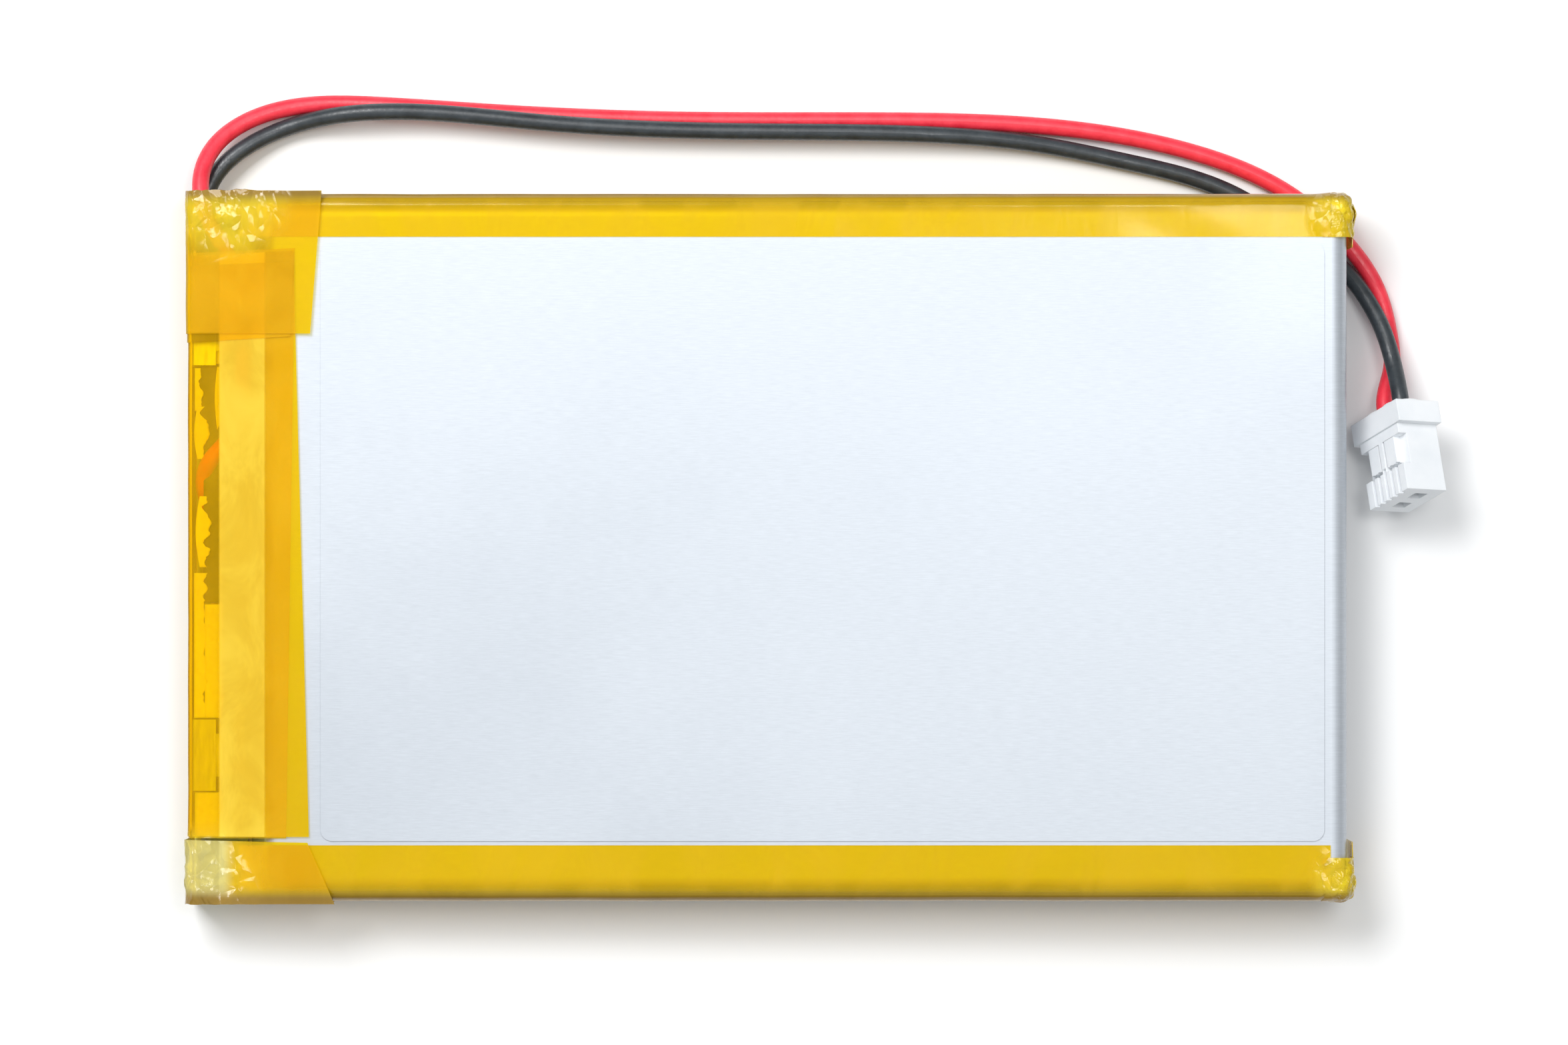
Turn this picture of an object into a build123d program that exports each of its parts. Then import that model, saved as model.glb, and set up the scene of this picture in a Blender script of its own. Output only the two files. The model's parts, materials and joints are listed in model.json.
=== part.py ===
from build123d import *
import os
from math import radians, tan

# Single-cell lithium-polymer pouch pack: a laminate pouch, a protection board wrapped in
# amber film at one end, and a two-wire lead with a small crimp plug.
#
# Origin: centre of the back face, on the land the stack presses out. +X runs from the board
# end to the folded end, +Y towards the long side beside which the lead runs, and +Z from the
# back face to the cup face.
# Lengths are millimetres.

# ---------------------------------------------------------------- driving dimensions
PACK_LENGTH = 81.5
PACK_WIDTH = 50.0
CELL_THICKNESS = 6.0        # over the two lands
LAMINATE = 0.15
FILM = 0.06                 # polyimide film with its adhesive
FILM_PITCH = 0.08           # from one film to the next one wrapped over it
IMPRINT = 0.12              # how far each land stands out from the rim round it

# Pouch
RIM_BACK = IMPRINT
RIM_FRONT = CELL_THICKNESS - IMPRINT
SEAL_Z = RIM_BACK + LAMINATE        # plane where the two halves are bonded
FOLD_X = PACK_LENGTH / 2    # folded end
TERRACE_X = -40.15          # outer edge of the seal that carries the tabs
FOOT_X = -36.6              # foot of the cup's sloped end wall
RIDGE_X = -35.15            # top of that wall
CUP_HALF_WIDTH = 24.3
SEAL_HEIGHT = 4.9           # side seals stand up against the cup walls this far
LAND_START_X = -31.3
FRONT_LAND_END_X = 39.1
BACK_LAND_END_X = 36.0      # short of the corner where the lead passes
LAND_WIDTH = 42.0

# Electrode stack
SHEET = 0.25
SEPARATOR = 0.02
ANODES = 10
STACK_START_X = -33.9
STACK_END_X = 39.6
STACK_HALF_WIDTH = 23.2

# Tabs and board
TAB_WIDTH = 5.0
TAB_THICKNESS = 0.1
POSITIVE_TAB_Y = 15.3
NEGATIVE_TAB_Y = -14.6
BOARD_THICKNESS = 0.6
BOARD_OUTER_X = -38.35
BOARD_LENGTH = 34.0
BOARD_BOTTOM = 0.85
BOARD_TOP = 4.15

# Film wrap around the board end
WRAP_LEFT = -40.45          # centre of the innermost film at the far end
SLOPE_END_X = -38.3
SLOPE_END_Z = 5.62
WRAP_END_Z = 5.42
HEAD_TOP_Y = 20.9
HEAD_BOTTOM_Y = -20.4

# Lead
WIRE_RADIUS = 0.6
CORE_RADIUS = 0.24
BORE_RADIUS = 0.245         # bore of the jacket around the copper
REST_ANGLE = 0.7            # degrees: the pack leans on the lead that runs under one corner
REST_Z = -0.3               # surface height under the board end
EXIT_BEND = (-39.5, 26.7)   # where the lead flexes, seen from above
MID_BEND = (0.0, 29.95)
PLUG_BEND = (44.52, 12.2)
EXIT_FLEX = 1.6             # half length of each flexing stretch
MID_FLEX = 1.2
PLUG_FLEX = 0.8

# Plug, in its own frame: x across the two ways, y through the thickness, z to the mating end
PITCH = 2.0
FLANGE_WIDTH = 5.8
FLANGE_DEPTH = 3.6
FLANGE_LENGTH = 1.6
BODY_WIDTH = 4.8
BODY_DEPTH = 3.3
PLUG_LENGTH = 6.5
CAVITY_WIDTH = 1.6
CAVITY_DEPTH = 2.0
PLUG_FRAME = Plane(
    origin=(44.39, 9.45, 1.92),
    x_dir=(-0.475, -0.322, -0.819),
    z_dir=(0.123, -0.946, 0.301),
)

os.makedirs("parts", exist_ok=True)


def save(piece, name):
    """Label one finished piece and write it as parts/<name>.step."""
    piece.label = name
    export_step(piece, f"parts/{name}.step")


# ---------------------------------------------------------------- pouch
def cup_form(inset):
    """Solid bounded by the cup's walls, each moved in by inset."""
    with BuildPart() as form:
        with BuildSketch(Plane.XZ):
            with BuildLine():
                Polyline(
                    (FOOT_X + inset, SEAL_Z),
                    (RIDGE_X + inset, RIM_FRONT - inset),
                    (FOLD_X - inset, RIM_FRONT - inset),
                    (FOLD_X - inset, SEAL_Z),
                    close=True,
                )
            make_face()
        extrude(amount=CUP_HALF_WIDTH - inset, both=True)
        uprights = form.edges().filter_by(lambda e: e.bounding_box().size.Z > RIM_FRONT / 2)
        fillet(uprights, 1.8 - inset)
        fillet(form.faces().sort_by(Axis.Z)[-1].edges(), 1.1 - inset)
    return form.part


cup_outside = cup_form(0)
cup_cavity = cup_form(LAMINATE)
TABS_Y = (POSITIVE_TAB_Y, NEGATIVE_TAB_Y)
TUNNEL_WIDTH = TAB_WIDTH + 2.0
TUNNEL_HEIGHT = TAB_THICKNESS + 0.14
SEAL_LENGTH = FOOT_X - TERRACE_X
SEAL_START_X = -36.9
SEAL_END_X = 38.6
LAND_Y = 0.4

with BuildPart() as pouch_cup:
    add(cup_outside)
    # terrace, raised into a low tunnel over each tab
    with BuildSketch(Plane.XY.offset(SEAL_Z)):
        with Locations((TERRACE_X, 0)):
            Rectangle(
                SEAL_LENGTH + 1, 2 * CUP_HALF_WIDTH - 0.6, align=(Align.MIN, Align.CENTER)
            )
    extrude(amount=LAMINATE)
    with BuildSketch(Plane.XY.offset(SEAL_Z)):
        with Locations(*[(TERRACE_X, y) for y in TABS_Y]):
            Rectangle(
                SEAL_LENGTH + 1, TUNNEL_WIDTH + 2 * LAMINATE, align=(Align.MIN, Align.CENTER)
            )
    extrude(amount=LAMINATE + TUNNEL_HEIGHT)
    # the land the stack presses out
    with BuildSketch(Plane.XY.offset(RIM_FRONT - LAMINATE / 2)):
        with Locations((LAND_START_X, LAND_Y)):
            RectangleRounded(
                FRONT_LAND_END_X - LAND_START_X, LAND_WIDTH, 0.8, align=(Align.MIN, Align.CENTER)
            )
    extrude(amount=IMPRINT + LAMINATE / 2)
    add(cup_cavity, mode=Mode.SUBTRACT)
    with BuildSketch(Plane.XY.offset(SEAL_Z)):
        with Locations(*[(TERRACE_X, y) for y in TABS_Y]):
            Rectangle(SEAL_LENGTH + 1.5, TUNNEL_WIDTH, align=(Align.MIN, Align.CENTER))
    extrude(amount=TUNNEL_HEIGHT, mode=Mode.SUBTRACT)
    # side seals, folded up against the walls
    for side in (-1, 1):
        with BuildSketch(Plane.YZ.offset(SEAL_START_X)):
            with BuildLine():
                Polyline(
                    (side * (CUP_HALF_WIDTH - 0.1), SEAL_Z),
                    (side * (CUP_HALF_WIDTH + 0.23), SEAL_Z),
                    (side * (CUP_HALF_WIDTH + 0.23), SEAL_HEIGHT),
                    (side * (CUP_HALF_WIDTH + 0.08), SEAL_HEIGHT),
                    (side * (CUP_HALF_WIDTH + 0.08), SEAL_Z + LAMINATE),
                    (side * (CUP_HALF_WIDTH - 0.1), SEAL_Z + LAMINATE),
                    close=True,
                )
            make_face()
        extrude(amount=SEAL_END_X - SEAL_START_X)
save(pouch_cup.part, "pouch_cup")

with BuildPart() as pouch_cover:
    with BuildSketch(Plane.XY.offset(RIM_BACK)):
        with Locations((TERRACE_X, 0)):
            Rectangle(
                FOLD_X - TERRACE_X, 2 * CUP_HALF_WIDTH - 0.6, align=(Align.MIN, Align.CENTER)
            )
    extrude(amount=LAMINATE)
    fillet(pouch_cover.edges().filter_by(Axis.Z).group_by(Axis.X)[-1], 1.5)
    # the back land: a shallow tray pressed out of the sheet
    for shrink, depth, action in ((0, 0, Mode.ADD), (LAMINATE, LAMINATE, Mode.SUBTRACT)):
        with BuildSketch(Plane.XY.offset(depth)):
            with Locations(((LAND_START_X + BACK_LAND_END_X) / 2, LAND_Y)):
                RectangleRounded(
                    BACK_LAND_END_X - LAND_START_X - 2 * shrink, LAND_WIDTH - 2 * shrink, 0.8
                )
        extrude(amount=RIM_BACK + LAMINATE / 2 if action == Mode.ADD else RIM_BACK, mode=action)
    # outer leaf of each side seal
    for side in (-1, 1):
        with BuildSketch(Plane.YZ.offset(SEAL_START_X)):
            with BuildLine():
                Polyline(
                    (side * (CUP_HALF_WIDTH - 0.4), RIM_BACK),
                    (side * (CUP_HALF_WIDTH + 0.4), RIM_BACK),
                    (side * (CUP_HALF_WIDTH + 0.4), SEAL_HEIGHT),
                    (side * (CUP_HALF_WIDTH + 0.25), SEAL_HEIGHT),
                    (side * (CUP_HALF_WIDTH + 0.25), SEAL_Z),
                    (side * (CUP_HALF_WIDTH - 0.4), SEAL_Z),
                    close=True,
                )
            make_face()
        extrude(amount=SEAL_END_X - SEAL_START_X)
save(pouch_cover.part, "pouch_cover")

# ---------------------------------------------------------------- electrode stack
LEAF_PITCH = SHEET + SEPARATOR + 0.005
LEAVES = 2 * ANODES - 1
STACK_BOTTOM = 0.38
STACK_LENGTH = STACK_END_X - STACK_START_X
TAIL_WIDTH = 6.0
TAB_Z = SEAL_Z + TUNNEL_HEIGHT / 2


def sheets(indices, margin):
    """Electrode sheets at the given places in the stack, each margin short on every side."""
    with BuildPart() as pile:
        for index in indices:
            base = STACK_BOTTOM + index * LEAF_PITCH + SEPARATOR
            with BuildSketch(Plane.XY.offset(base)):
                with Locations(((STACK_START_X + STACK_END_X) / 2, 0)):
                    Rectangle(STACK_LENGTH - 2 * margin, 2 * (STACK_HALF_WIDTH - margin))
            extrude(amount=SHEET)
    return pile.part


save(sheets(range(0, LEAVES, 2), 0.6), "anode_sheets")
save(sheets(range(1, LEAVES, 2), 1.1), "cathode_sheets")

# The separator is one strip folded back and forth between the sheets.
with BuildPart() as separator:
    with BuildSketch(Plane.YZ.offset(STACK_START_X)):
        for index in range(LEAVES + 1):
            height = STACK_BOTTOM + index * LEAF_PITCH - 0.0025
            with Locations((0, height)):
                Rectangle(2 * STACK_HALF_WIDTH, SEPARATOR, align=(Align.CENTER, Align.MIN))
            if index < LEAVES:
                side = 1 if index % 2 else -1
                with Locations((side * (STACK_HALF_WIDTH - SEPARATOR / 2), height)):
                    Rectangle(
                        SEPARATOR, LEAF_PITCH + SEPARATOR, align=(Align.CENTER, Align.MIN)
                    )
    extrude(amount=STACK_LENGTH)
save(separator.part, "separator")

STACK_TOP = STACK_BOTTOM + LEAVES * LEAF_PITCH + SEPARATOR
STACK_HEIGHT = STACK_TOP - STACK_BOTTOM
BAND_GAP = 0.02
with BuildPart() as stack_tape:
    for band_start in (-18.0, 20.0):
        with BuildSketch(Plane.YZ.offset(band_start)):
            with Locations((0, (STACK_BOTTOM + STACK_TOP) / 2)):
                for growth, action in ((BAND_GAP + FILM, Mode.ADD), (BAND_GAP, Mode.SUBTRACT)):
                    Rectangle(
                        2 * (STACK_HALF_WIDTH + growth), STACK_HEIGHT + 2 * growth, mode=action
                    )
        extrude(amount=10.0)
save(stack_tape.part, "stack_tape")


def collector_tails(tab_y):
    """The foil tails of one polarity, pressed together and brought down onto their tab."""
    weld_z = TAB_Z + TAB_THICKNESS / 2 + 0.01
    with BuildPart() as tails:
        with BuildSketch(Plane.XZ.offset(-tab_y)):
            with BuildLine():
                Polyline(
                    (STACK_START_X - 0.02, STACK_BOTTOM + 0.3),
                    (STACK_START_X - 0.02, STACK_TOP - 0.5),
                    (STACK_START_X - 0.5, STACK_TOP - 1.2),
                    (-35.6, weld_z + 0.4),
                    (-35.95, weld_z + 0.15),
                    (-35.95, weld_z),
                    (-34.8, weld_z),
                    close=True,
                )
            make_face()
        extrude(amount=TAIL_WIDTH / 2, both=True)
    return tails.part


save(collector_tails(POSITIVE_TAB_Y), "positive_collector_tails")
save(collector_tails(NEGATIVE_TAB_Y), "negative_collector_tails")

# ---------------------------------------------------------------- tabs
TAB_UP_X = -40.3
TAB_TOP_Z = 5.2


def strip(path_points, radius, thickness, centre_y, width):
    """A flat strip of metal or film that follows a path in the XZ plane."""
    with BuildPart() as bent:
        with BuildSketch(Plane.XZ.offset(-centre_y)):
            with BuildLine():
                FilletPolyline(*path_points, radius=radius)
            trace(line_width=thickness)
        extrude(amount=width / 2, both=True)
    return bent.part


def tab(centre_y):
    """Tab: out through the seal, up the far side of the board and back over its top."""
    path = (
        (-34.9, TAB_Z),
        (TAB_UP_X, TAB_Z),
        (TAB_UP_X, TAB_TOP_Z),
        (-38.7, TAB_TOP_Z),
    )
    return strip(path, 0.12, TAB_THICKNESS, centre_y, TAB_WIDTH)


def nickel_strip(centre_y):
    """Strip welded under the tab's end and soldered to the inner face of the board."""
    inner_x = BOARD_OUTER_X + BOARD_THICKNESS + 0.1
    path = (
        (-39.9, TAB_TOP_Z - TAB_THICKNESS - 0.01),
        (inner_x, TAB_TOP_Z - TAB_THICKNESS - 0.01),
        (inner_x, 3.3),
    )
    return strip(path, 0.12, TAB_THICKNESS, centre_y, 3.0)


save(tab(POSITIVE_TAB_Y), "positive_tab")
save(tab(NEGATIVE_TAB_Y), "negative_tab")
save(nickel_strip(POSITIVE_TAB_Y), "nickel_strip_positive")
save(nickel_strip(NEGATIVE_TAB_Y), "nickel_strip_negative")


def sealant(centre_y):
    """Polymer sleeve that bonds the laminate to one tab."""
    with BuildPart() as sleeve:
        with BuildSketch(Plane.YZ.offset(TERRACE_X + 0.4)):
            with Locations((centre_y, TAB_Z)):
                Rectangle(TUNNEL_WIDTH - 0.1, TUNNEL_HEIGHT - 0.01)
                Rectangle(TAB_WIDTH + 0.02, TAB_THICKNESS + 0.01, mode=Mode.SUBTRACT)
        extrude(amount=SEAL_LENGTH - 0.6)
    return sleeve.part


save(sealant(POSITIVE_TAB_Y), "positive_tab_sealant")
save(sealant(NEGATIVE_TAB_Y), "negative_tab_sealant")

# ---------------------------------------------------------------- protection board
BOARD_INNER_X = BOARD_OUTER_X + BOARD_THICKNESS
INNER_FACE = Plane(origin=(BOARD_INNER_X, 0, 0), x_dir=(0, 1, 0), z_dir=(1, 0, 0))
OUTER_FACE = Plane(origin=(BOARD_OUTER_X, 0, 0), x_dir=(0, -1, 0), z_dir=(-1, 0, 0))
MOSFET_AT = (-4.5, 2.1)
CHIP_AT = (3.2, 2.1)
RED_PAD = (1.6, 2.4)
BLACK_PAD = (-4.6, 2.1)

with BuildPart() as pcm_board:
    with BuildSketch(INNER_FACE):
        with Locations((0, (BOARD_BOTTOM + BOARD_TOP) / 2)):
            RectangleRounded(BOARD_LENGTH, BOARD_TOP - BOARD_BOTTOM, 0.4)
    extrude(amount=-BOARD_THICKNESS)
save(pcm_board.part, "pcm_board")


def chip(centre, length, width, height, legs, leg_pitch):
    """Moulded package with its legs on the two long sides, standing on the inner face."""
    y, z = centre
    with BuildPart() as package:
        with BuildSketch(INNER_FACE.offset(0.1)):
            with Locations((y, z)):
                Rectangle(length, width)
        extrude(amount=height - 0.1, taper=4)
        for row in (-1, 1):
            for index in range(legs):
                along = y + (index - (legs - 1) / 2) * leg_pitch
                with BuildSketch(INNER_FACE.offset(0.01)):
                    with Locations((along, z + row * width / 2)):
                        Rectangle(leg_pitch * 0.45, 0.55)
                extrude(amount=0.2)
    return package.part


save(chip(MOSFET_AT, 3.0, 1.5, 0.75, 4, 0.65), "mosfet_pair")
save(chip(CHIP_AT, 2.9, 1.2, 0.75, 3, 0.95), "protection_ic")


def small_parts(places):
    """Chip resistors or capacitors, each 1.6 x 0.8 mm, standing on the inner face."""
    with BuildPart() as parts_row:
        for place in places:
            with BuildSketch(INNER_FACE.offset(0.01)):
                with Locations(place):
                    Rectangle(1.6, 0.8)
            extrude(amount=0.5)
    return parts_row.part


save(small_parts([(7.2, 2.6), (7.2, 1.5)]), "chip_resistors")
save(small_parts([(-8.6, 2.1)]), "chip_capacitor")

with BuildPart() as solder_joints:
    for pad in (RED_PAD, BLACK_PAD):
        with BuildSketch(OUTER_FACE.offset(0.01)):
            with Locations((-pad[0], pad[1])):
                Ellipse(1.15, 0.85)
        extrude(amount=0.2)
    fillet(solder_joints.faces().sort_by(Axis.X)[:2].edges(), 0.12)
save(solder_joints.part, "solder_joints")

with BuildPart() as insulating_paper:
    with BuildSketch(Plane.XY.offset(0.7)):
        with Locations((-38.25, 0)):
            Rectangle(2.9, 42.0)
    extrude(amount=0.1)
save(insulating_paper.part, "insulating_paper")

with BuildPart() as board_pad:
    with BuildSketch(INNER_FACE.offset(0.01)):
        with Locations((-13.5, 1.85), (13.0, 1.85)):
            Rectangle(5.0, 1.9)
    extrude(amount=0.85)
save(board_pad.part, "board_pad")

# ---------------------------------------------------------------- films
SIDE_FILM_Y = CUP_HALF_WIDTH + 0.5
FRONT_Z = RIM_FRONT + 0.04
BACK_Z = RIM_BACK - 0.04
SIDE_FILM_START_X = -37.0
EAR_REACH = 0.45


def side_tape(side, front_edge, back_edge, ear_length):
    """Film along one long side, wrapped onto both faces, its end turned round the corner."""
    with BuildPart() as film:
        with BuildSketch(Plane.YZ.offset(SIDE_FILM_START_X)):
            with BuildLine():
                FilletPolyline(
                    (side * front_edge, FRONT_Z),
                    (side * SIDE_FILM_Y, FRONT_Z),
                    (side * SIDE_FILM_Y, BACK_Z),
                    (side * back_edge, BACK_Z),
                    radius=(0.9, 0.1),
                )
            trace(line_width=FILM)
        extrude(amount=FOLD_X - 1.2 - SIDE_FILM_START_X)
        with BuildSketch(Plane.XY.offset(0.35)):
            with BuildLine():
                FilletPolyline(
                    (FOLD_X - 1.6, side * SIDE_FILM_Y),
                    (FOLD_X + EAR_REACH, side * SIDE_FILM_Y),
                    (FOLD_X + EAR_REACH * 0.8, side * (SIDE_FILM_Y - ear_length)),
                    radius=1.3,
                )
            trace(line_width=FILM)
        extrude(amount=4.6)
    return film.part


save(side_tape(1, 21.8, 21.4, 3.7), "side_tape_upper")
save(side_tape(-1, 20.9, 20.9, 4.1), "side_tape_lower")


def wrap(layer, outline):
    """Film round the board end: ridge, slope, top, far end and back, cut to an outline.

    layer counts films outwards.
    """
    out = layer * FILM_PITCH
    reach = -24.0
    with BuildPart() as film:
        with BuildSketch(Plane.XZ):
            with BuildLine():
                FilletPolyline(
                    (reach, FRONT_Z + out),
                    (RIDGE_X + 0.3, FRONT_Z + out),
                    (SLOPE_END_X, SLOPE_END_Z + out),
                    (WRAP_LEFT - out, WRAP_END_Z + out),
                    (WRAP_LEFT - out, BACK_Z - out),
                    (reach, BACK_Z - out),
                    radius=(0.6, 0.5, 0.35 + out, 0.2 + out),
                )
            trace(line_width=FILM)
        extrude(amount=PACK_WIDTH, both=True)
        with BuildSketch(Plane.XY.offset(-2)):
            with BuildLine():
                Polyline(*outline, close=True)
            make_face()
        extrude(amount=12, mode=Mode.INTERSECT)
    return film.part


FAR_LEFT = -42.0
inner_outline = (
    (FAR_LEFT, HEAD_TOP_Y - 0.3),
    (-33.1, HEAD_TOP_Y + 0.1),
    (-33.7, HEAD_BOTTOM_Y),
    (FAR_LEFT, HEAD_BOTTOM_Y),
)
outer_outline = (
    (FAR_LEFT, HEAD_TOP_Y - 0.5),
    (-33.2, HEAD_TOP_Y - 0.1),
    (-32.1, HEAD_BOTTOM_Y + 0.1),
    (FAR_LEFT, HEAD_BOTTOM_Y + 0.1),
)
patch_outline = (
    (FAR_LEFT, 19.7),
    (-33.2, 20.05),
    (-33.4, 14.8),
    (FAR_LEFT, 14.3),
)
save(wrap(1, inner_outline), "head_tape_inner")
save(wrap(2, outer_outline), "head_tape_outer")
save(wrap(3, patch_outline), "head_patch")

CORNER_LAYER = 4
SIDE_WALL_Y = PACK_WIDTH / 2 - FILM / 2
CORNER_OUT = CORNER_LAYER * FILM_PITCH


def corner_tape(side, outline, wall_start, wall_end):
    """Film over one corner of the board end, closed on its long side by a wall."""
    flap = wrap(CORNER_LAYER, outline)
    with BuildPart() as film:
        add(flap)
        with BuildSketch(Plane.XZ.offset(-side * SIDE_WALL_Y)):
            with BuildLine():
                Polyline(
                    (wall_start, BACK_Z - CORNER_OUT),
                    (wall_start, WRAP_END_Z + CORNER_OUT),
                    (SLOPE_END_X, SLOPE_END_Z + CORNER_OUT),
                    (RIDGE_X, FRONT_Z + CORNER_OUT),
                    (wall_end, FRONT_Z + CORNER_OUT),
                    (wall_end, BACK_Z - CORNER_OUT),
                    close=True,
                )
            make_face()
        extrude(amount=FILM / 2, both=True)
    return film.part


upper_outline = (
    (FAR_LEFT, PACK_WIDTH / 2),
    (-31.2, PACK_WIDTH / 2),
    (-32.0, 15.0),
    (FAR_LEFT, 15.0),
)
lower_outline = (
    (FAR_LEFT, -PACK_WIDTH / 2),
    (-30.3, -PACK_WIDTH / 2),
    (-32.2, HEAD_BOTTOM_Y - 0.3),
    (FAR_LEFT, HEAD_BOTTOM_Y - 0.1),
)
save(corner_tape(1, upper_outline, -38.7, -31.4), "corner_tape_upper")
save(corner_tape(-1, lower_outline, -40.5, -30.5), "corner_tape_lower")


# ---------------------------------------------------------------- lead
def surface(x):
    """Height of the surface the pack rests on, which falls away towards the folded end."""
    return REST_Z - (x + PACK_LENGTH / 2) * tan(radians(REST_ANGLE))


def lying(x, y, lift=0.0):
    """Centre of a wire on the surface at x, y, raised by lift."""
    return (x, y, surface(x) + WIRE_RADIUS + 0.03 + lift)


def in_plug(way, depth):
    """Point on the axis of one way of the plug, depth past the wire end of the housing."""
    return tuple(PLUG_FRAME.from_local_coords(Vector(way * PITCH / 2, 0, depth)))


RED_WAY = 1
BLACK_WAY = -1
JACKET_END = 0.5            # the jackets reach this far into the housing

red_route = (
    (-39.45, 3.4, 2.75),
    (-39.65, 4.7, 3.9),
    (-39.05, 6.2, 4.8),
    (-38.05, 7.3, 4.88),
    (-37.1, 9.0, 4.55),
    (-36.85, 12.0, 4.25),
    (-36.9, 17.0, 4.2),
    (-38.1, 20.8, 4.1),
    (-39.75, 24.2, 3.6),
    (-39.93, 26.2, 2.9),
    (-38.9, 28.6, 1.75),
    (-36.2, 30.5, 0.85),
    lying(-32.2, 31.42),
    lying(-27.5, 31.4),
    lying(-20.0, 30.93),
    lying(-7.0, 30.38),
    lying(9.0, 30.32),
    lying(21.0, 29.8),
    lying(30.2, 28.1),
    lying(36.1, 25.75),
    lying(40.95, 21.9),
    lying(43.3, 18.55),
    lying(44.3, 15.0),
    lying(44.45, 13.0, 0.15),
    in_plug(RED_WAY, -0.9),
    in_plug(RED_WAY, -0.1),
    in_plug(RED_WAY, JACKET_END),
)
black_route = (
    (-39.25, -2.6, 2.1),
    (-39.45, 1.0, 1.6),
    (-39.35, 8.0, 1.6),
    (-39.45, 16.0, 1.75),
    (-39.7, 21.0, 1.75),
    (-39.85, 24.0, 1.6),
    (-39.2, 26.1, 1.35),
    (-37.3, 28.1, 1.05),
    lying(-33.8, 29.85, 0.3),
    lying(-30.4, 30.6, 1.08),
    lying(-25.6, 30.85, 1.27),
    lying(-16.3, 30.13, 1.2),
    lying(-2.3, 29.5, 0.96),
    lying(11.7, 29.28, 0.8),
    lying(18.7, 28.7, 0.35),
    lying(25.8, 27.35, 0.03),
    lying(33.0, 25.2),
    lying(37.4, 22.5),
    lying(40.9, 19.85, 0.17),
    lying(42.65, 17.5, 0.95),
    lying(43.7, 15.4, 1.3),
    lying(44.35, 13.2, 1.75),
    in_plug(BLACK_WAY, -0.9),
    in_plug(BLACK_WAY, -0.1),
    in_plug(BLACK_WAY, JACKET_END),
)
with BuildLine() as red_path:
    Spline(*red_route)
with BuildLine() as black_path:
    Spline(*black_route)


def stretches(path):
    """Cut a wire's path at both sides of each bend: head, exit, near, mid, far, tail, plug."""
    edge = path.edge()
    cuts = [0.0]
    for (x, y), half in ((EXIT_BEND, EXIT_FLEX), (MID_BEND, MID_FLEX), (PLUG_BEND, PLUG_FLEX)):
        pole = Edge.make_line((x, y, -5), (x, y, 8))
        nearest = edge.distance_to_with_closest_points(pole)[1]
        middle = edge.position_at(edge.param_at_point(nearest))
        centre = edge.param_at_point(middle)
        step = half / edge.length
        cuts += [centre - step, centre + step]
    cuts.append(1.0)
    return [edge.trim(a, b) for a, b in zip(cuts[:-1], cuts[1:])]


def tube(path_edge, radius, bore=0.0):
    """Round wire, or round jacket with a bore, along one stretch of path."""
    with BuildPart() as round_bar:
        with BuildLine():
            add(path_edge)
        with BuildSketch(Plane(origin=path_edge @ 0, z_dir=path_edge % 0)):
            Circle(radius)
            if bore:
                Circle(bore, mode=Mode.SUBTRACT)
        sweep()
    return round_bar.part


red = stretches(red_path)
black = stretches(black_path)
STRETCH_NAMES = ("in_head", "exit_bend", "near", "mid_bend", "far", "plug_bend", "at_plug")
HEAD = 0
PLUG = len(STRETCH_NAMES) - 1

for index, stretch in enumerate(STRETCH_NAMES):
    save(tube(red[index], WIRE_RADIUS, BORE_RADIUS), f"red_jacket_{stretch}")
    save(tube(black[index], WIRE_RADIUS, BORE_RADIUS), f"black_jacket_{stretch}")

# The two copper cores of each stretch share a node. In the head they run on to the board's
# solder pads, and in the plug to the crimps.
RED_CORE_END = (BOARD_OUTER_X - 0.52, RED_PAD[0] - 0.4, RED_PAD[1])
BLACK_CORE_END = (BOARD_OUTER_X - 0.52, BLACK_PAD[0] - 0.6, BLACK_PAD[1])
CRIMP_CORE_LENGTH = 1.2


def core_tip(path_edge, end, far_point):
    """Bare core beyond one end of a jacket, from that end to far_point."""
    here = path_edge @ end
    way = (path_edge % end) * (1 if end else -1)
    with BuildPart() as tip:
        with BuildLine():
            Spline(here, far_point, tangents=(way, Vector(*far_point) - here))
        with BuildSketch(Plane(origin=here, z_dir=way)):
            Circle(CORE_RADIUS)
        sweep()
    return tip.part


for index, stretch in enumerate(STRETCH_NAMES):
    cores = [tube(red[index], CORE_RADIUS), tube(black[index], CORE_RADIUS)]
    if index == HEAD:
        cores[0] += core_tip(red[HEAD], 0, RED_CORE_END)
        cores[1] += core_tip(black[HEAD], 0, BLACK_CORE_END)
    if index == PLUG:
        cores[0] += core_tip(red[PLUG], 1, in_plug(RED_WAY, JACKET_END + CRIMP_CORE_LENGTH))
        cores[1] += core_tip(black[PLUG], 1, in_plug(BLACK_WAY, JACKET_END + CRIMP_CORE_LENGTH))
    save(Compound(children=cores), f"copper_{stretch}")

# ---------------------------------------------------------------- plug
WINDOW_START = 2.35
WINDOW_END = 4.55
WINDOW_INNER = 0.24         # half of the rib left between the two windows
LANCE_WIDTH = 1.2
LANCE_TIP = 4.3
COLLAR_RADIUS = 1.35
KEY_WIDTH = 0.85
WAYS = (RED_WAY * PITCH / 2, BLACK_WAY * PITCH / 2)
LANCE_FACE = -BODY_DEPTH / 2

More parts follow.
